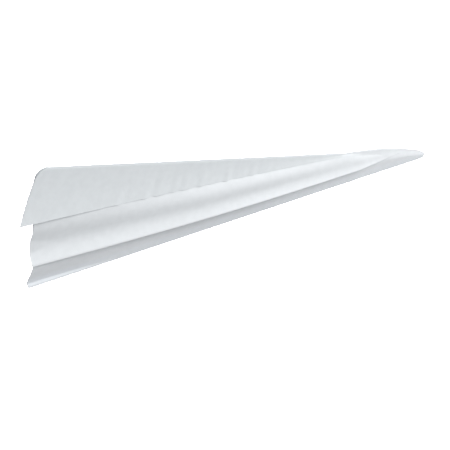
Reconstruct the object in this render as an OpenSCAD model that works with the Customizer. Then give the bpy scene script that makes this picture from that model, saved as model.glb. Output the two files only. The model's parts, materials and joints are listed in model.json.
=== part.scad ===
// Folded paper airplane at rest: the body closed, and the wings folded down over it.
// It is one sheet. Each panel between two creases is a node, and the creases are its hinges.
// Every layer is described in (x, n, z): x forward from the tail edge, n outward from the
// middle plane on its own side, z up from the keel. The keel leans to the right.

/* [Sheet] */
// Length of the sheet, from the tail edge to the nose
sheet_length = 297; // [250:1:350]
// Width of half the sheet, shared by the body and the wing at the tail
half_width = 105; // [95:1:115]
// Thickness of each layer
paper = 0.25; // [0.15:0.05:0.3]

/* [Body] */
// Height of the wing crease at the tail
crease_height = 73.3; // [68:0.1:78]
// Slope of the wing crease, down towards the nose, in degrees
crease_angle = 12.85; // [12.3:0.05:13.2]
// Where the wing ends and the nose begins, from the tail
wing_front = 222; // [200:1:235]
// How far the nose's folded top rises above the line of the crease
nose_rise = 2; // [0:0.1:3]
// Radius of the blunt nose tip
nose_radius = 2.7; // [2:0.1:3]
// Radius of the worn corner at the tail end of the crease
corner_radius = 6; // [3:0.5:10]

/* [Keel] */
// Height of the keel fold's two arms
keel_height = 5; // [4:0.1:5.5]
// Lean of the pinched keel, to the right for each millimetre up
keel_lean = 0.17; // [0.12:0.01:0.2]
// Distance from the tail to the point where fingers pinch the keel, which is the origin
grip_x = 140; // [110:1:160]

/* [Flap] */
// Height of the flap's free edge at the tail
flap_tail_z = 16.5; // [14:0.5:20]
// Height of the flap's free edge where it starts to rise to the nose
flap_front_z = 9.9; // [8:0.1:11]
// How far the right flap's free edge stands out at the tail
flap_stand = 4; // [3:0.1:6]
// How much further it stands out at half length
flap_belly = 2.5; // [0:0.1:4]
// How far the left flap lies off its side
left_flap_stand = 1.3; // [1.2:0.05:1.3]
// Width of the turned-under hem that lines the flap
hem_width = 18; // [8:1:20]

/* [Wing] */
// Sweep of the right wing's rear edge, backward from upright, in degrees
right_sweep = 19.5; // [12:0.5:24]
// Sweep of the left wing's rear edge
left_sweep = 10; // [6:0.5:24]
// How far the right wing's rear corner stands off the crease
right_wing_stand = 1.9; // [1.5:0.1:5]
// How far the left wing's rear corner stands off the crease
left_wing_stand = 0.6; // [0.6:0.1:5]

/* [Hidden] */

// Distances from the middle plane at which each layer leaves the crease
side_n = 0.15;
flap_n = 0.7;
wing_n = 1.6;
// Least space between a flap and the side under it, and from a wing's edge down to the flap
flap_clear = flap_n - side_n - paper;
panel_gap = 0.9;
// Where the right flap passes under its wing's edge at the tail
right_cover_n = 2.3;
// Step between the two layers of one panel, and the gap above the keel's arms
layer_gap = 0.4;
hinge_gap = 0.3;

// Stations along the flap: where its edge starts to rise, and its front end
flap_rise_x = 235;
flap_end_x = 272;
// How far the right flap's rear edge has slid past the tail, and where that fades out
flap_tail_x = -1.5;
flap_slide_end_x = 40;
// The flap's front end: its height below the crease, and how far out it stands
flap_end_drop = 1.8;
flap_end_n = 1.2;
// Gap between the flap's upper edge and the crease
flap_top_gap = 0.8;
// The S of the right flap: a hollow that fades out by half the wing's length, and a wave
flap_hollow = 1.9;
flap_wave = 0.8;
wave_fade_x = 150;
wave_end_x = 260;
// The hem starts this far above the flap's edge, and ends this far below the wing's edge
hem_inset = 0.2;
hem_stop = 1;
// The flap's edge rises to the nose slowly at first: the power of its curve
flap_rise_power = 1.5;
// The flap runs under the wing's edge at least this far above its own free edge, and forward of
// the wing it starts this far below the crease
cover_gap = 0.5;
nose_cover_drop = 1;
// Gap between the wing's upper edge and the crease, and the height of the wing's front end below it
wing_top_gap = 0.2;
wing_front_drop = 1;
// The wing's rear corner stands off most, and the rest closes in by this power
wing_stand_power = 1.7;
// The body leans up to this far below the flap's edge, or at least this far above the keel's arms
shoulder_drop = 2;
shoulder_rise = 1;
// Columns along each kind of panel
side_columns = 18;
hem_columns = 14;
wing_columns = 16;
// The wing's lining, as shares of the wing's depth, and how far short of its front each stops
wing_lining_top = 0.06;
wing_lining_foot = 0.97;
wing_front_gap = 2;
wing_lining_front_gap = 8;
// Front ends of the raised nose top and of the sides
nose_back_x = sheet_length - nose_radius - 0.3;
side_end_x = sheet_length - 5.5;

// The sheet's rear corner, once the wing is folded down over its crease
wing_width = half_width - crease_height;
function sweep(side) = side == "left" ? left_sweep : right_sweep;
function wing_corner(side) =
    let (stand = side == "left" ? left_wing_stand : right_wing_stand)
    [-wing_width * sin(sweep(side)), wing_n + stand, crease_height - wing_width * cos(sweep(side))];
wing_tip_n = wing_n + 0.3;
wing_bow = 0.8;
wing_crown = 0.3;

function mix(a, b, t) = a + (b - a) * t;
function clamp01(t) = max(0, min(1, t));
function ramp(x, a, b) = clamp01((x - a) / (b - a));

// Side view: the crease, the raised nose top and the worn tail corner
function crease_z(x) = crease_height - tan(crease_angle) * x;
function nose_z(x) = nose_rise * sin(180 * ramp(x, wing_front, nose_back_x));
function corner_drop(x) = x >= corner_radius ? 0
    : corner_radius - sqrt(corner_radius ^ 2 - (corner_radius - max(0, x)) ^ 2);
function top_z(x) = crease_z(max(0, x)) + nose_z(x) - corner_drop(x);

// Stations from the tail to end: close together round the worn corner, then even
function stations(end, count) = concat(
    [for (k = [0:2]) corner_radius * (1 - cos(30 * k))],
    [for (k = [0:count]) mix(corner_radius, end, k / count)]
);

// Middle surface of the closed body: it leans with the keel, then returns to the middle plane
return_height = 9;
function shoulder_z(x) = max(keel_height + shoulder_rise, flap_edge_z(x) - shoulder_drop);
function body_lean(x, z) =
    let (s = shoulder_z(x))
    z < s ? keel_lean * z : keel_lean * s * (1 + cos(180 * clamp01((z - s) / return_height))) / 2;

// Wing: its free edge runs from the rear corner to the wing's front end
front_z = crease_z(wing_front) - wing_front_drop;
function edge_t(side, x) =
    let (rear = wing_corner(side)[0]) clamp01((x - rear) / (wing_front - rear));
function edge_n(side, t) = wing_tip_n + (wing_corner(side)[1] - wing_tip_n) * (1 - t) ^ wing_stand_power;
function edge_z(side, t) = mix(wing_corner(side)[2], front_z, t) + wing_bow * sin(180 * t);
// Where the crease is worn away, the wing's upper edge follows its swept rear edge
function wing_point(side, x, w, lift) =
    let (t = x / wing_front,
         foot = [x - corner_drop(x) * tan(sweep(side)), wing_n, top_z(x) - wing_top_gap],
         tip = [mix(wing_corner(side)[0], wing_front, t), edge_n(side, t), edge_z(side, t)],
         p = mix(foot, tip, w))
    [p[0], p[1] + wing_crown * sin(180 * w) - lift, p[2]];

// Flap: free edge, and the section between it and the wing's edge.
// The right flap has sprung out in an S. The left one lies along the body.
function flap_edge_z(x) = x < flap_rise_x
    ? mix(flap_tail_z, flap_front_z, max(0, x) / flap_rise_x)
    : mix(flap_front_z, top_z(flap_end_x) - flap_end_drop,
        ramp(x, flap_rise_x, flap_end_x) ^ flap_rise_power);
function flap_edge_n(x) = x < flap_rise_x
    ? flap_stand + flap_belly * sin(180 * max(0, x) / flap_rise_x)
    : mix(flap_stand, flap_end_n, ramp(x, flap_rise_x, flap_end_x));
function cover_z(side, x) = max(flap_edge_z(x) + cover_gap,
    x < wing_front ? edge_z(side, edge_t(side, x)) : top_z(x) - nose_cover_drop);
function cover_n(side, x) = min(side == "left" ? left_flap_stand : right_cover_n,
    edge_n(side, edge_t(side, x)) - panel_gap);
function sprung_n(x, t) =
    let (hollow = flap_hollow * (1 - ramp(x, 0, wing_front / 2)),
         wave = flap_wave * (1 - ramp(x, wave_fade_x, wave_end_x)))
    mix(cover_n("right", x), flap_edge_n(x), t) - hollow * sin(180 * t) + wave * sin(360 * t);
function free_flap_n(side, x, z) =
    let (low = flap_edge_z(x), high = cover_z(side, x), t = clamp01((high - z) / (high - low)))
    z > high ? mix(cover_n(side, x), flap_n, clamp01((z - high) / max(cover_gap, top_z(x) - high)))
        : side == "left" ? cover_n(side, x) - body_lean(x, z) : sprung_n(x, t);
function flap_section(side, x, z) =
    max(free_flap_n(side, x, z), side_section(side, x, z) + paper + flap_clear);
function flap_x(side, x) =
    side == "left" ? x : x + flap_tail_x * (1 - ramp(x, 0, flap_slide_end_x));

// Side: the flat strip above the keel, then the middle surface up to the crease
function side_section(side, x, z) = side_n + (side == "left" ? -1 : 1) * body_lean(x, z);
// Heights of the side's rows: one flat strip, then even steps over the bend and above it
function side_z(x, row) =
    let (bottom = keel_height + hinge_gap, top = top_z(x), s = min(shoulder_z(x), mix(bottom, top, 0.3)),
         turn = min(s + return_height, mix(s, top, 0.6)))
    row == 0 ? bottom : row <= 6 ? mix(s, turn, (row - 1) / 5) : mix(turn, top, (row - 6) / 3);

// A sheet of paper through a grid of points, thickened outward, placed as on the right side
module sheet(grid) {
    rows = len(grid);
    cols = len(grid[0]);
    inner = [for (r = grid) for (p = r) [p[0], -p[1], p[2]]];
    outer = [for (r = grid) for (p = r) [p[0], -p[1] - paper, p[2]]];
    n = rows * cols;
    function at(r, c) = r * cols + c;
    skin = [for (r = [0:rows - 2]) for (c = [0:cols - 2])
        each [[at(r, c), at(r + 1, c), at(r + 1, c + 1)], [at(r, c), at(r + 1, c + 1), at(r, c + 1)]]];
    rim = concat(
        [for (c = [0:cols - 1]) at(0, c)],
        [for (r = [1:rows - 1]) at(r, cols - 1)],
        [for (c = [cols - 2:-1:0]) at(rows - 1, c)],
        [for (r = [rows - 2:-1:1]) at(r, 0)]
    );
    m = len(rim);
    walls = [for (k = [0:m - 1]) let (a = rim[k], b = rim[(k + 1) % m])
        each [[a, b, b + n], [a, b + n, a + n]]];
    polyhedron(
        points = concat(inner, outer),
        faces = concat(
            walls,
            skin,
            [for (f = skin) [f[0] + n, f[2] + n, f[1] + n]]
        ),
        convexity = 6
    );
}

// Moves a panel to the row frame, and to its own side
module on_side(side) {
    translate([-grip_x, 0, 0]) mirror([0, side == "left" ? 1 : 0, 0]) children();
}

// The pinched fold along the bottom: two leaning arms of one thickness joined by a round bend,
// cut to the blunt outline of the nose
module keel_fold() {
    bend = side_n + paper;
    lean = atan(keel_lean);
    function arc(r, from, to) = [for (k = [0:8]) let (a = mix(from, to, k / 8))
        [r * sin(a) - keel_lean * bend, bend - r * cos(a)]];
    function arm_end(r) = [r / cos(lean) - keel_lean * keel_height, keel_height];
    profile = concat(
        arc(bend, lean - 90, lean + 90), [arm_end(bend), arm_end(side_n)],
        arc(side_n, lean + 90, lean - 90), [arm_end(-side_n), arm_end(-bend)]
    );
    round_nose = [for (a = [-90:7.5:60])
        [sheet_length + nose_radius * (cos(a) - 1), nose_radius * (1 + sin(a))]];
    color([0.93, 0.94, 0.96])
    translate([-grip_x, 0, 0])
    intersection() {
        rotate([90, 0, 90]) linear_extrude(sheet_length) polygon(profile);
        rotate([90, 0, 0]) linear_extrude(8 * keel_height, center = true)
            polygon(concat([[-1, 0]], round_nose, [[-1, keel_height + 1]]));
    }
}

module side_panel(side) {
    color([0.84, 0.86, 0.9]) on_side(side)
    sheet([for (x = stations(side_end_x, side_columns)) [for (row = [0:9])
        let (z = side_z(x, row)) [x, side_section(side, x, z), z]]]);
}

module flap_panel(side) {
    color([0.95, 0.96, 0.97]) on_side(side)
    sheet([for (x = stations(flap_end_x, side_columns)) [for (row = [0:11])
        let (z = mix(flap_edge_z(x), top_z(x) - flap_top_gap, row / 11))
        [flap_x(side, x), flap_section(side, x, z), z]]]);
}

module flap_lining(side) {
    color([0.9, 0.91, 0.93]) on_side(side)
    sheet([for (x = stations(flap_rise_x, hem_columns)) [for (row = [0:5])
        let (low = flap_edge_z(x) + hem_inset,
             high = min(low + hem_width, cover_z(side, x) - hem_stop),
             z = mix(low, high, row / 5))
        [flap_x(side, x), flap_section(side, x, z) - layer_gap, z]]]);
}

module wing_panel(side) {
    color([0.88, 0.9, 0.92]) on_side(side)
    sheet([for (x = stations(wing_front - wing_front_gap, wing_columns)) [for (w = [0:5])
        wing_point(side, x, w / 5, 0)]]);
}

module wing_lining(side) {
    color([0.9, 0.91, 0.93]) on_side(side)
    sheet([for (x = stations(wing_front - wing_lining_front_gap, wing_columns)) [for (w = [0:5])
        wing_point(side, x, mix(wing_lining_top, wing_lining_foot, w / 5), layer_gap)]]);
}

module right_side() { side_panel("right"); }
module right_flap() { flap_panel("right"); }
module right_flap_lining() { flap_lining("right"); }
module right_wing() { wing_panel("right"); }
module right_wing_lining() { wing_lining("right"); }
module left_side() { side_panel("left"); }
module left_flap() { flap_panel("left"); }
module left_flap_lining() { flap_lining("left"); }
module left_wing() { wing_panel("left"); }
module left_wing_lining() { wing_lining("left"); }

keel_fold();
right_side();
right_flap();
right_flap_lining();
right_wing();
right_wing_lining();
left_side();
left_flap();
left_flap_lining();
left_wing();
left_wing_lining();
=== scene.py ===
import json
import math

import bpy
import numpy as np
from mathutils import Matrix, Vector

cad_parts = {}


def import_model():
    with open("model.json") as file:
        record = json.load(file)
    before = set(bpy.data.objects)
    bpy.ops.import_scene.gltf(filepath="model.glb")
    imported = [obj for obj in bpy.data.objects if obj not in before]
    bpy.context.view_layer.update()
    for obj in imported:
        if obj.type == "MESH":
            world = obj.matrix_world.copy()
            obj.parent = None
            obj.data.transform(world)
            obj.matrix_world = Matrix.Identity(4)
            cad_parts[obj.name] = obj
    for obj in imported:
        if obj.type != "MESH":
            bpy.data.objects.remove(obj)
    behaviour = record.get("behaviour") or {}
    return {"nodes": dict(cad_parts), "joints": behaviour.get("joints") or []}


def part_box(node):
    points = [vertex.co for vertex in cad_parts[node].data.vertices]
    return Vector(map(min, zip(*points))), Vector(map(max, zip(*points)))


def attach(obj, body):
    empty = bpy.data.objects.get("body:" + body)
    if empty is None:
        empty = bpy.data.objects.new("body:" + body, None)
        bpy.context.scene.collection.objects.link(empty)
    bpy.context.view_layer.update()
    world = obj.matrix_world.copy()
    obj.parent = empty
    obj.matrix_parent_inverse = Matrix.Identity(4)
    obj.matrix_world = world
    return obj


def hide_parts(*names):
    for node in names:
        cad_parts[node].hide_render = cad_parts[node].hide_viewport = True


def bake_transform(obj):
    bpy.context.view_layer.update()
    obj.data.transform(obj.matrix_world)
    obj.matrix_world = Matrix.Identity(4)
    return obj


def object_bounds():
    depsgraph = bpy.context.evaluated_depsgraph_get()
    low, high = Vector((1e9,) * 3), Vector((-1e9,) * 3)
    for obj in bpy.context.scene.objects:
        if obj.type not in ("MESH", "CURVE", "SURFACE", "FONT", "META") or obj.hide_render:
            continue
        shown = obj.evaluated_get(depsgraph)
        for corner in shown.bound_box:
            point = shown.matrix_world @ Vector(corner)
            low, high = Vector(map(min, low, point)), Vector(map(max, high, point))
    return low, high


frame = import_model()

cad_low, cad_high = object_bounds()

# The airplane is one folded sheet. Each panel is a grid of points in (x, n, z): x forward from the
# tail edge, n outward from the middle plane on the panel's own side, z up from the keel's bottom.
# The surfaces follow the design's own rules on a finer grid, with some sizes of their own, and run
# on round every fold.

MM = 0.001

# ---- Read from the frame ----

joints = {j["name"]: j for j in frame["joints"]}
crease = joints["right_wing_fold"]
TAIL_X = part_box("keel_fold")[0].x
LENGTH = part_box("keel_fold")[1].x - TAIL_X
KEEL_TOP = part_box("keel_fold")[1].z
CREASE_TAIL = crease["pos_m"][2]
CREASE_SLOPE = abs(crease["axis"][2] / crease["axis"][0])
FLAP_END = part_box("right_flap")[1].x - TAIL_X
WING_SWEPT = {s: TAIL_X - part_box(s + "_wing")[0].x for s in ("right", "left")}

# ---- The design's own sizes ----

HALF_WIDTH = 105 * MM
WING_FRONT = 222 * MM
NOSE_RISE = 2 * MM
NOSE_RADIUS = 2.7 * MM
NOSE_BACK = LENGTH - 3 * MM
CORNER_RADIUS = 6 * MM
KEEL_LEAN = 0.17
RETURN_HEIGHT = 9 * MM
SHOULDER_RISE = 1 * MM
SHOULDER_DROP = 2 * MM
FLAP_TAIL_Z = 16.5 * MM
FLAP_FRONT_Z = 9.9 * MM
FLAP_RISE = 235 * MM
FLAP_RISE_POWER = 1.5
FLAP_STAND = 4 * MM
FLAP_BELLY = 2.5 * MM
FLAP_END_DROP = 1.8 * MM
FLAP_END_N = 1.2 * MM
FLAP_SLIDE = -1.5 * MM
FLAP_SLIDE_END = 40 * MM
WAVE_FADE = 150 * MM
WAVE_END = 260 * MM
COVER_GAP = 0.5 * MM
HEM = 18 * MM
WING_BOW = 0.8 * MM
WING_FRONT_DROP = 1 * MM
WING_STAND_POWER = 1.7

# ---- Sizes that only the looks use: thinner paper, pressed flatter at the crease ----

# The design has its own values for these four. Here they follow the photo more closely.
FLAP_HOLLOW = 2.9 * MM
FLAP_WAVE = 1.15 * MM
COVER_N = 2.4 * MM
WING_CORNER_N = {"right": 3.6 * MM, "left": 1.5 * MM}

PAPER = 0.12 * MM
SIDE_N = 0.18 * MM
FLAP_N = 0.42 * MM
WING_N = 0.88 * MM
LAYER_STEP = 0.18 * MM
LAYER_STEP_FRONT = 0.14 * MM
LAYER_STEP_FADE = (60 * MM, 180 * MM)
WING_CURVE = 2.3
FOLD_R = (WING_N - SIDE_N) / 2
WING_TIP_N = 1.35 * MM
LEFT_TIP_RISE = 0.15 * MM
WING_END_GAP = 2 * MM
COVER_CLEAR = 1.4 * PAPER
TAIL_GAP = 0.6 * MM
TAIL_GAP_END = 60 * MM
NOSE_GAP = 0.4 * MM
NOSE_COVER_DROP = 3 * MM
NOSE_COVER_REACH = 25 * MM
NOSE_TAPER = 13 * MM
NOSE_TAPER_POWER = 3
NOSE_SEARCH = 14 * MM
NOSE_SEARCH_STEPS = 400
NOSE_TOP_CLOSES = (WING_FRONT + 30 * MM, LENGTH - 10 * MM)
LEAN_TOP_SHARE = 0.55
LEAN_MIN_HEIGHT = 0.1 * MM
LIP_N = 2.2 * MM
LIP_Z = 1.9 * MM
LIP_TOP_Z = 14.5 * MM
LIP_END = 68 * MM
SIDE_END_GAP = 0.3 * MM
HEM_START = 0.2 * MM
HEM_TOP_GAP = 1 * MM
LINING_END_GAP = 8 * MM
LINING_SPAN = (0.02, 0.985)
RIPPLE = 0.16 * MM
# Each wave's length, phase and share
RIPPLE_WAVES = ((9.3 * MM, 0.6, 1), (14.7 * MM, 2.1, 0.7), (6.1 * MM, 4.0, 0.5))
RIPPLE_FADE_IN = (30 * MM, 70 * MM)
RIPPLE_FADE_OUT = (135 * MM, 180 * MM)
RIPPLE_DEPTH = (0.1, 0.8)

# ---- The grids: numbers of points, and the angle above which an edge is sharp, in degrees ----

COLUMNS = 230
CORNER_COLUMNS = 14
RIDGE_COLUMNS = 60
KEEL_ARM_ROWS = 16
KEEL_BEND_ROWS = 17
SIDE_ROWS = 36
FLAP_ROWS = 48
HEM_ROWS = 16
EDGE_BEND_ROWS = 7
CREASE_ROWS = 13
WING_ROWS = 32
LINING_ROWS = 24
RIDGE_ROWS = 11
SHARP_ANGLE = 50


def mix(a, b, t):
    return a + (b - a) * t


def ramp(x, a, b):
    return np.clip((x - a) / (b - a), 0, 1)


def smooth(x, a, b):
    t = ramp(x, a, b)
    return t * t * (3 - 2 * t)


# ---- Side view ----


def nose_hump(x):
    """0 at the wing's front end and at the nose, 1 halfway between."""
    return np.sin(math.pi * ramp(x, WING_FRONT, NOSE_BACK))


def corner_drop(x):
    """How far the worn corner at the tail falls below the crease."""
    inset = CORNER_RADIUS - np.clip(x, 0, CORNER_RADIUS)
    return CORNER_RADIUS - np.sqrt(np.maximum(CORNER_RADIUS**2 - inset**2, 0))


def top_z(x):
    """The crease, with the raised nose top and the worn corner at the tail."""
    line = CREASE_TAIL - CREASE_SLOPE * np.maximum(x, 0)
    return line + NOSE_RISE * nose_hump(x) - corner_drop(x)


def nose_top_z(x):
    """top_z, closed to the blunt tip of the nose."""
    t = ramp(x, LENGTH - NOSE_TAPER, LENGTH)
    return NOSE_RADIUS + (top_z(x) - NOSE_RADIUS) * np.sqrt(1 - t**NOSE_TAPER_POWER)


def nose_end_x(z):
    """How far forward the outline reaches at height z."""
    xs = np.linspace(LENGTH - NOSE_SEARCH, LENGTH, NOSE_SEARCH_STEPS)
    above = np.interp(-z, -nose_top_z(xs), xs)
    below = LENGTH - NOSE_RADIUS + np.sqrt(np.maximum(NOSE_RADIUS**2 - (z - NOSE_RADIUS) ** 2, 0))
    return np.where(z > NOSE_RADIUS, above, below)


def flap_edge_z(x):
    rear = mix(FLAP_TAIL_Z, FLAP_FRONT_Z, np.maximum(x, 0) / FLAP_RISE)
    end = top_z(FLAP_END) - FLAP_END_DROP
    front = mix(FLAP_FRONT_Z, end, ramp(x, FLAP_RISE, FLAP_END) ** FLAP_RISE_POWER)
    return np.where(x < FLAP_RISE, rear, front)


# ---- Distances out from the middle plane ----


def body_lean(x, z):
    """The closed body leans with the keel, then returns to the middle plane."""
    top = nose_top_z(x)
    shoulder = np.maximum(KEEL_TOP + SHOULDER_RISE, flap_edge_z(x) - SHOULDER_DROP)
    shoulder = np.minimum(shoulder, LEAN_TOP_SHARE * top)
    height = np.minimum(RETURN_HEIGHT, np.maximum(top - shoulder, LEAN_MIN_HEIGHT))
    up = np.clip((z - shoulder) / height, 0, 1)
    back = KEEL_LEAN * shoulder * (1 + np.cos(math.pi * up)) / 2
    return np.where(z < shoulder, KEEL_LEAN * z, back)


def keel_lip(x, z):
    """Near the tail the keel is bent further left, and its bottom edge turns out to the right."""
    across = smooth(z, 0, LIP_Z) * (1 - smooth(z, LIP_Z, LIP_TOP_Z))
    return -LIP_N * across * (1 - smooth(x, 0, LIP_END))


def middle_n(x, z):
    """The body's own middle surface, measured to the right."""
    return body_lean(x, z) + keel_lip(x, z)


def side_n(side, x, z):
    return SIDE_N + (-1 if side == "left" else 1) * middle_n(x, z)


def wing_corner(side):
    """The wing's rear corner: how far behind the tail, how far out, how high."""
    width = HALF_WIDTH - CREASE_TAIL
    swept = WING_SWEPT[side]
    return -swept, WING_CORNER_N[side], CREASE_TAIL - math.sqrt(width**2 - swept**2)


def swept_x(side, x):
    """Where a station lies on the wing's upper edge, which follows its swept rear edge."""
    back, _, low = wing_corner(side)
    return x + corner_drop(x) * back / (CREASE_TAIL - low)


def edge_t(side, x):
    return ramp(x, wing_corner(side)[0], WING_FRONT)


def edge_n(side, t):
    tip_n = WING_TIP_N if side == "right" else WING_N + LEFT_TIP_RISE
    return tip_n + (wing_corner(side)[1] - tip_n) * (1 - t) ** WING_STAND_POWER


def edge_z(side, t):
    front = top_z(WING_FRONT) - WING_FRONT_DROP
    return mix(wing_corner(side)[2], front, t) + WING_BOW * np.sin(math.pi * t)


def cover_z(side, x):
    """Up to here the flap is free. Above it the wing lies over the flap, or the nose's fold begins."""
    nose = smooth(x, WING_FRONT, WING_FRONT + NOSE_COVER_REACH)
    free_top = top_z(x) - mix(WING_FRONT_DROP, NOSE_COVER_DROP, nose)
    cover = np.where(x < WING_FRONT, edge_z(side, edge_t(side, x)), free_top)
    return np.maximum(flap_edge_z(x) + COVER_GAP, cover)


def layer_step(x):
    """Step between the two layers of one panel: they lie closer together towards the nose."""
    return mix(LAYER_STEP, LAYER_STEP_FRONT, smooth(x, *LAYER_STEP_FADE))


def hinge_n(x):
    """How far out the flap leaves the crease. Under the raised nose it needs more room to swing."""
    return FLAP_N + NOSE_GAP * nose_hump(x)


def cover_n(side, x):
    """How far out the flap lies at cover_z. The wing's ripples aren't allowed for."""
    gap = layer_step(x) + COVER_CLEAR + TAIL_GAP * (1 - smooth(x, 0, TAIL_GAP_END))
    return np.maximum(hinge_n(x), np.minimum(COVER_N, edge_n(side, edge_t(side, x)) - gap))


def flap_n(side, x, z):
    """Free below cover_z, drawn in to the crease above it, and never inside the side."""
    low, high = flap_edge_z(x), cover_z(side, x)
    t = np.clip((high - z) / (high - low), 0, 1)
    if side == "left":
        below = cover_n(side, x) - middle_n(x, z)
    else:
        stand = np.where(
            x < FLAP_RISE,
            FLAP_STAND + FLAP_BELLY * np.sin(math.pi * np.maximum(x, 0) / FLAP_RISE),
            mix(FLAP_STAND, FLAP_END_N, ramp(x, FLAP_RISE, FLAP_END)),
        )
        hollow = FLAP_HOLLOW * (1 - ramp(x, 0, WING_FRONT / 2))
        wave = FLAP_WAVE * (1 - ramp(x, WAVE_FADE, WAVE_END))
        below = mix(cover_n(side, x), stand, t) - hollow * np.sin(math.pi * t)
        below = below + wave * np.sin(2 * math.pi * t)
    up = np.clip((z - high) / np.maximum(COVER_GAP, top_z(x) - high), 0, 1)
    free = np.where(z > high, mix(hinge_n(x), cover_n(side, x), (1 - up) ** WING_CURVE), below)
    return np.maximum(free, side_n(side, x, z) + hinge_n(x) - SIDE_N)


def ripples(x, depth):
    """Faint cockling across a panel, strongest at its free edge, where depth is 1."""
    waves = 0
    for length, phase, share in RIPPLE_WAVES:
        waves = waves + share * np.sin(2 * math.pi * x / length + phase)
    reach = smooth(x, *RIPPLE_FADE_IN) * (1 - smooth(x, *RIPPLE_FADE_OUT))
    return RIPPLE * waves * reach * smooth(depth, *RIPPLE_DEPTH)


# ---- Sheets of paper ----


def columns(end):
    """Stations from the tail edge to end, close together over the worn corner at the tail."""
    rear = CORNER_RADIUS * (1 - np.cos(np.linspace(0, math.pi / 2, CORNER_COLUMNS)))
    return np.concatenate([rear[:-1], np.linspace(CORNER_RADIUS, end, COLUMNS)])


def arc(x, centre_n, centre_z, radius, start, end, steps):
    """Rows round a fold: an arc in each column. Angles are in degrees, up from outward."""
    rows = []
    for a in np.radians(np.linspace(start, end, steps)):
        rows.append((x, centre_n + radius * math.cos(a), centre_z + radius * math.sin(a)))
    return rows


def top_of_fold(count):
    """The worn rows of a fold that has count rows: all but the first three and the last three."""
    return range(3, count - 3)


def rows_to_grid(rows):
    shape = np.broadcast_shapes(*[np.shape(c) for r in rows for c in r])
    return np.array([[np.broadcast_to(c, shape) for c in r] for r in rows]).transpose(0, 2, 1)


def sheet(name, side, grid, worn_rows):
    """A thin closed sheet about a grid of (x, n, z) points, as one smooth mesh.
    The fold attribute is 1 on worn_rows, at folds and edges, and 0 elsewhere."""
    sign = 1 if side == "left" else -1
    points = np.stack([grid[..., 0] + TAIL_X, sign * grid[..., 1], grid[..., 2]], axis=-1)
    normal = np.cross(np.gradient(points, axis=1), np.gradient(points, axis=0))
    normal /= np.linalg.norm(normal, axis=-1, keepdims=True)
    rows, cols = grid.shape[:2]
    skins = np.concatenate([points - normal * PAPER / 2, points + normal * PAPER / 2])
    count = rows * cols

    def at(r, c):
        return r * cols + c

    faces = []
    for r in range(rows - 1):
        for c in range(cols - 1):
            quad = [at(r, c), at(r, c + 1), at(r + 1, c + 1), at(r + 1, c)]
            faces.append(quad)
            faces.append([k + count for k in reversed(quad)])
    rim = [at(0, c) for c in range(cols)] + [at(r, cols - 1) for r in range(1, rows)]
    rim += [at(rows - 1, c) for c in reversed(range(cols - 1))]
    rim += [at(r, 0) for r in range(rows - 2, 0, -1)]
    for a, b in zip(rim, rim[1:] + rim[:1]):
        faces.append([b, a, a + count, b + count])
    mesh = bpy.data.meshes.new(name)
    mesh.from_pydata(skins.reshape(-1, 3).tolist(), [], faces)
    mesh.validate()
    mesh.polygons.foreach_set("use_smooth", [True] * len(mesh.polygons))
    mesh.set_sharp_from_angle(angle=math.radians(SHARP_ANGLE))
    worn = np.zeros((rows, cols), np.float32)
    worn[list(worn_rows)] = 1
    attribute = mesh.attributes.new("fold", "FLOAT", "POINT")
    attribute.data.foreach_set("value", np.tile(worn.ravel(), 2))
    obj = bpy.data.objects.new(name, mesh)
    bpy.context.scene.collection.objects.link(obj)
    return obj


def keel_sheet():
    """The pinched fold: down one arm, round the bottom, and up the other arm.
    Each row is laid out about the straight lean, then moved onto the middle surface's own bend."""
    lean = math.atan(KEEL_LEAN)
    arm = SIDE_N / math.cos(lean)
    heights = np.linspace(KEEL_TOP, SIDE_N * 2, KEEL_ARM_ROWS)
    places = [(-arm - KEEL_LEAN * z, z) for z in heights]
    for a in np.linspace(-math.pi / 2, math.pi / 2, KEEL_BEND_ROWS)[1:-1] + lean:
        z = SIDE_N * (1 - math.cos(a)) + PAPER / 2
        places.append((SIDE_N * math.sin(a) - KEEL_LEAN * SIDE_N, z))
    places += [(arm - KEEL_LEAN * z, z) for z in reversed(heights)]
    stations = columns(LENGTH) / LENGTH
    rows = []
    for n, z in places:
        x = stations * nose_end_x(np.array(z))
        rows.append((x, n + KEEL_LEAN * z - middle_n(x, np.full_like(x, z)), z))
    worn = range(KEEL_ARM_ROWS - 2, KEEL_ARM_ROWS + KEEL_BEND_ROWS)
    return sheet("keel", "left", rows_to_grid(rows), worn)


def side_sheet(side):
    """From the keel's arm up to the start of the crease's fold."""
    x = columns(nose_end_x(np.array(KEEL_TOP)) - SIDE_END_GAP)
    top = mix(top_z(x) - FOLD_R, nose_top_z(x), smooth(x, *NOSE_TOP_CLOSES))
    rows = []
    for w in np.linspace(0, 1, SIDE_ROWS):
        z = mix(KEEL_TOP, top, w)
        rows.append((x, side_n(side, x, z), z))
    return sheet(side + "_side", side, rows_to_grid(rows), (SIDE_ROWS - 1,))


def flap_point(side, x, z):
    """A point of the flap. The right flap has slid back past the tail."""
    slid_x = x if side == "left" else x + FLAP_SLIDE * (1 - ramp(x, 0, FLAP_SLIDE_END))
    return slid_x, flap_n(side, x, z), z


def flap_sheet(side):
    """The flap, from its free edge up into the crease."""
    x = columns(FLAP_END)
    low, high = flap_edge_z(x), top_z(x) - FOLD_R
    rows = [flap_point(side, x, mix(low, high, w)) for w in np.linspace(0, 1, FLAP_ROWS)]
    return sheet(side + "_flap", side, rows_to_grid(rows), (0,))


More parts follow.
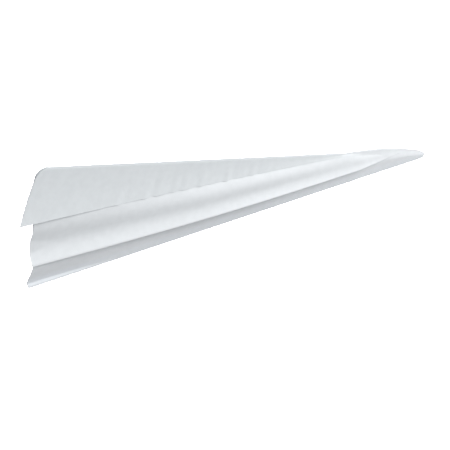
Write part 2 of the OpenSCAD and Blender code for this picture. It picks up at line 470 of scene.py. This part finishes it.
def flap_lining_sheet(side):
    """The turned-under hem: round the flap's edge, then up behind it."""
    x = columns(FLAP_RISE)
    radius = layer_step(x) / 2
    edge = flap_edge_z(x)
    place = flap_point(side, x, edge)
    rows = arc(place[0], place[1] - radius, edge, radius, 0, -180, EDGE_BEND_ROWS)[1:]
    low = edge + HEM_START
    high = np.minimum(low + HEM, cover_z(side, x) - HEM_TOP_GAP)
    for w in np.linspace(0, 1, HEM_ROWS):
        px, pn, pz = flap_point(side, x, mix(low, high, w))
        rows.append((px, pn - layer_step(x), pz))
    return sheet(side + "_flap_lining", side, rows_to_grid(rows), range(EDGE_BEND_ROWS - 1))


def wing_point(side, x, w, inward=0.0):
    """A point of the wing: w is 0 at the crease and 1 at the free edge."""
    t = x / WING_FRONT
    corner = wing_corner(side)
    tip_x = mix(corner[0], WING_FRONT, t)
    n = mix(WING_N, edge_n(side, t), w**WING_CURVE) + ripples(x, w) - inward
    z = mix(top_z(x) - FOLD_R, edge_z(side, t), w)
    return mix(swept_x(side, x), tip_x, w), n, z


def wing_sheet(side):
    """From the side's top round the crease, and down to the wing's free edge."""
    x = columns(WING_FRONT - WING_END_GAP)
    bend = arc(x, SIDE_N + FOLD_R, top_z(x) - FOLD_R, FOLD_R, 180, 0, CREASE_ROWS)[:-1]
    rows = []
    for k, (_, n, z) in enumerate(bend):
        rows.append((mix(x, swept_x(side, x), k / (CREASE_ROWS - 1)), n, z))
    rows += [wing_point(side, x, w) for w in np.linspace(0, 1, WING_ROWS)]
    return sheet(side + "_wing", side, rows_to_grid(rows), top_of_fold(CREASE_ROWS))


def wing_lining_sheet(side):
    """The wing's second layer, from inside the crease down and round its free edge."""
    x = columns(WING_FRONT - LINING_END_GAP)
    rows = [wing_point(side, x, w, layer_step(x)) for w in np.linspace(*LINING_SPAN, LINING_ROWS)]
    tip_x, tip_n, tip_z = wing_point(side, x, 1)
    radius = layer_step(x) / 2
    rows += arc(tip_x, tip_n - radius, tip_z, radius, 180, 360, EDGE_BEND_ROWS)[:-1]
    return sheet(side + "_wing_lining", side, rows_to_grid(rows), range(LINING_ROWS, len(rows)))


def nose_ridge_sheet(side):
    """Forward of the wing, the fold along the top that joins the side to the flap."""
    x = np.linspace(WING_FRONT - WING_END_GAP, FLAP_END, RIDGE_COLUMNS)
    side_top = side_n(side, x, top_z(x) - FOLD_R)
    flap_top = flap_n(side, x, top_z(x) - FOLD_R)
    centre, reach = (side_top + flap_top) / 2, (flap_top - side_top) / 2
    rows = []
    for a in np.radians(np.linspace(180, 0, RIDGE_ROWS)):
        rows.append((x, centre + reach * math.cos(a), top_z(x) - FOLD_R * (1 - math.sin(a))))
    return sheet(side + "_nose_ridge", side, rows_to_grid(rows), top_of_fold(RIDGE_ROWS))


# ---- Paper ----


ROUGHNESS = 0.62
ROUGHNESS_SPREAD = 0.05
SPECULAR = 0.35
SHEEN = 0.05
CLOUD_SCALE, CLOUD_DETAIL = 260, 3
TOOTH_SCALE, TOOTH_DETAIL = 3200, 4
CLOUD_DARK = 0.965
WORN_DARK = 0.78
WORN_SHARE = 0.6
BUMP_STRENGTH = 0.12
BUMP_DEPTH = 0.00004


def paper_material(name, colour):
    """Matte office paper: cloudy fibre, a fine tooth, and duller broken fibre on folds and edges."""
    mat = bpy.data.materials.new(name)
    mat.use_nodes = True
    nodes, links = mat.node_tree.nodes, mat.node_tree.links
    shader = nodes["Principled BSDF"]
    shader.inputs["Specular IOR Level"].default_value = SPECULAR
    shader.inputs["Sheen Weight"].default_value = SHEEN
    place = nodes.new("ShaderNodeTexCoord")

    def noise(scale, detail):
        node = nodes.new("ShaderNodeTexNoise")
        node.inputs["Scale"].default_value = scale
        node.inputs["Detail"].default_value = detail
        links.new(place.outputs["Object"], node.inputs["Vector"])
        return node

    def blend(factor, a, b):
        node = nodes.new("ShaderNodeMix")
        node.data_type = "RGBA"
        links.new(factor, node.inputs["Factor"])
        for socket, value in (("A", a), ("B", b)):
            target = [i for i in node.inputs if i.name == socket and i.type == "RGBA"][0]
            if isinstance(value, tuple):
                target.default_value = (*value, 1)
            else:
                links.new(value, target)
        return [o for o in node.outputs if o.type == "RGBA"][0]

    def remap(value, low, high, out_low, out_high):
        node = nodes.new("ShaderNodeMapRange")
        links.new(value, node.inputs["Value"])
        node.inputs["From Min"].default_value = low
        node.inputs["From Max"].default_value = high
        node.inputs["To Min"].default_value = out_low
        node.inputs["To Max"].default_value = out_high
        return node.outputs["Result"]

    cloud = noise(CLOUD_SCALE, CLOUD_DETAIL)
    darker = tuple(c * CLOUD_DARK for c in colour)
    cloudy = blend(remap(cloud.outputs["Fac"], 0.35, 0.65, 0, 1), darker, colour)
    worn = nodes.new("ShaderNodeAttribute")
    worn.attribute_name = "fold"
    broken = tuple(c * WORN_DARK for c in colour)
    tint = blend(remap(worn.outputs["Fac"], 0, 1, 0, WORN_SHARE), cloudy, broken)
    links.new(tint, shader.inputs["Base Color"])
    smoothest, roughest = ROUGHNESS - ROUGHNESS_SPREAD, ROUGHNESS + ROUGHNESS_SPREAD
    dullness = remap(cloud.outputs["Fac"], 0.3, 0.7, smoothest, roughest)
    links.new(dullness, shader.inputs["Roughness"])
    tooth = noise(TOOTH_SCALE, TOOTH_DETAIL)
    bump = nodes.new("ShaderNodeBump")
    bump.inputs["Strength"].default_value = BUMP_STRENGTH
    bump.inputs["Distance"].default_value = BUMP_DEPTH
    links.new(tooth.outputs["Fac"], bump.inputs["Height"])
    links.new(bump.outputs["Normal"], shader.inputs["Normal"])
    return mat


def finish_piece(obj, slot, mat, *nodes):
    obj.data.materials.clear()
    obj.data.materials.append(mat)
    if nodes:
        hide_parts(*nodes)


# One sheet of paper, given its own base colour on each panel: painted shade. The wing and the linings
# are darker and the keel bluer, standing in for the shade they lie in, and the flap is a touch
# lighter.
PANEL_COLOURS_WITH_PAINTED_SHADE = {
    "keel": (0.80, 0.825, 0.855),
    "body_side": (0.80, 0.82, 0.84),
    "flap": (0.805, 0.828, 0.845),
    "flap_lining": (0.79, 0.81, 0.83),
    "wing": (0.775, 0.805, 0.82),
    "wing_lining": (0.79, 0.81, 0.83),
}
papers_with_painted_shade = {slot: paper_material("paper_" + slot, colour) for slot, colour in PANEL_COLOURS_WITH_PAINTED_SHADE.items()}
for node in frame["nodes"].values():
    node.data.materials.clear()
    node.data.materials.append(papers_with_painted_shade["body_side"])

keel = keel_sheet()
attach(keel, "keel")
finish_piece(keel, "keel", papers_with_painted_shade["keel"], "keel_fold")


def build_side(side):
    body_side, flap_body, wing_body = side + "_side", side + "_flap", side + "_wing"

    panel = side_sheet(side)
    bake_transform(panel)
    finish_piece(panel, "body_side", papers_with_painted_shade["body_side"], side + "_side")

    flap = flap_sheet(side)
    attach(flap, flap_body)
    finish_piece(flap, "flap", papers_with_painted_shade["flap"], side + "_flap")
    hem = flap_lining_sheet(side)
    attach(hem, flap_body)
    finish_piece(hem, "flap_lining", papers_with_painted_shade["flap_lining"], side + "_flap_lining")

    wing = wing_sheet(side)
    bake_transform(wing)
    finish_piece(wing, "wing", papers_with_painted_shade["wing"], side + "_wing")
    lining = wing_lining_sheet(side)
    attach(lining, wing_body)
    finish_piece(lining, "wing_lining", papers_with_painted_shade["wing_lining"], side + "_wing_lining")

    ridge = nose_ridge_sheet(side)
    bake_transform(ridge)
    finish_piece(ridge, "flap", papers_with_painted_shade["flap"])


build_side("right")
build_side("left")

# ---- Floor, light and camera ----

FLOOR_DROP = 0.45
FLOOR_SIZE = 60.0


def floor():
    mesh = bpy.data.meshes.new("floor")
    half = FLOOR_SIZE / 2
    corners = [(-half, -half, 0), (half, -half, 0), (half, half, 0), (-half, half, 0)]
    mesh.from_pydata(corners, [], [(0, 1, 2, 3)])
    obj = bpy.data.objects.new("floor", mesh)
    obj.location.z = cad_low.z - FLOOR_DROP
    bpy.context.scene.collection.objects.link(obj)
    mat = bpy.data.materials.new("floor_white")
    mat.use_nodes = True
    shader = mat.node_tree.nodes["Principled BSDF"]
    shader.inputs["Base Color"].default_value = (0.7, 0.7, 0.7, 1)
    shader.inputs["Roughness"].default_value = 0.9
    shader.inputs["Specular IOR Level"].default_value = 0.1
    mesh.materials.append(mat)


def place_light(data, location, aim):
    obj = bpy.data.objects.new(data.name, data)
    obj.location = location
    obj.rotation_mode = "QUATERNION"
    obj.rotation_quaternion = (Vector(aim) - Vector(location)).to_track_quat("-Z", "Y")
    bpy.context.scene.collection.objects.link(obj)


def overhead_light(name, direction, strength, spread):
    """A wide, soft light from far off in that direction."""
    data = bpy.data.lights.new(name, "SUN")
    data.energy = strength
    data.angle = math.radians(spread)
    place_light(data, direction, (0, 0, 0))


def soft_light(name, location, aim, size, power, spread=180):
    """A square soft box. A narrow spread, in degrees, keeps its light off things beside its aim."""
    data = bpy.data.lights.new(name, "AREA")
    data.shape = "SQUARE"
    data.size = size
    data.energy = power
    data.spread = math.radians(spread)
    place_light(data, location, aim)


def world(colour, strength):
    scene_world = bpy.data.worlds.new("studio")
    scene_world.use_nodes = True
    background = scene_world.node_tree.nodes["Background"]
    background.inputs["Color"].default_value = (*colour, 1)
    background.inputs["Strength"].default_value = strength
    bpy.context.scene.world = scene_world


CAMERA_AZIMUTH = -44.04
CAMERA_ELEVATION = 32.26
CAMERA_ROLL = 8.88
CAMERA_DISTANCE = 0.8865
CAMERA_LENS = 124.0
CAMERA_AIM = Vector((-0.00645, 0, -0.00127))


def camera():
    a, e, roll = (math.radians(v) for v in (CAMERA_AZIMUTH, CAMERA_ELEVATION, CAMERA_ROLL))
    back = Vector((math.sin(a) * math.cos(e), -math.cos(a) * math.cos(e), math.sin(e)))
    level = Vector((math.cos(a), math.sin(a), 0))
    upright = back.cross(level)
    right = level * math.cos(roll) + upright * math.sin(roll)
    up = back.cross(right)
    data = bpy.data.cameras.new("camera")
    data.sensor_width = 36
    data.lens = CAMERA_LENS
    obj = bpy.data.objects.new("camera", data)
    turn = Matrix((right, up, back)).transposed().to_4x4()
    obj.matrix_world = Matrix.Translation(CAMERA_AIM + back * CAMERA_DISTANCE) @ turn
    data.clip_start = 0.05
    data.clip_end = 50
    bpy.context.scene.collection.objects.link(obj)
    bpy.context.scene.camera = obj


floor()
world((0.94, 0.97, 1.0), 0.36)
overhead_light("key", (0.45, -0.6, 1.0), 2.0, 34)
soft_light("nose_light", (0.35, -0.25, 0.25), (0.16, 0, 0), 0.2, 0.45)
soft_light("backdrop_light", (0.3, 0.32, 0.85), (0.58, 0.6, -0.45), 0.3, 12, spread=62)
camera()
bpy.context.scene.view_settings.view_transform = "Standard"
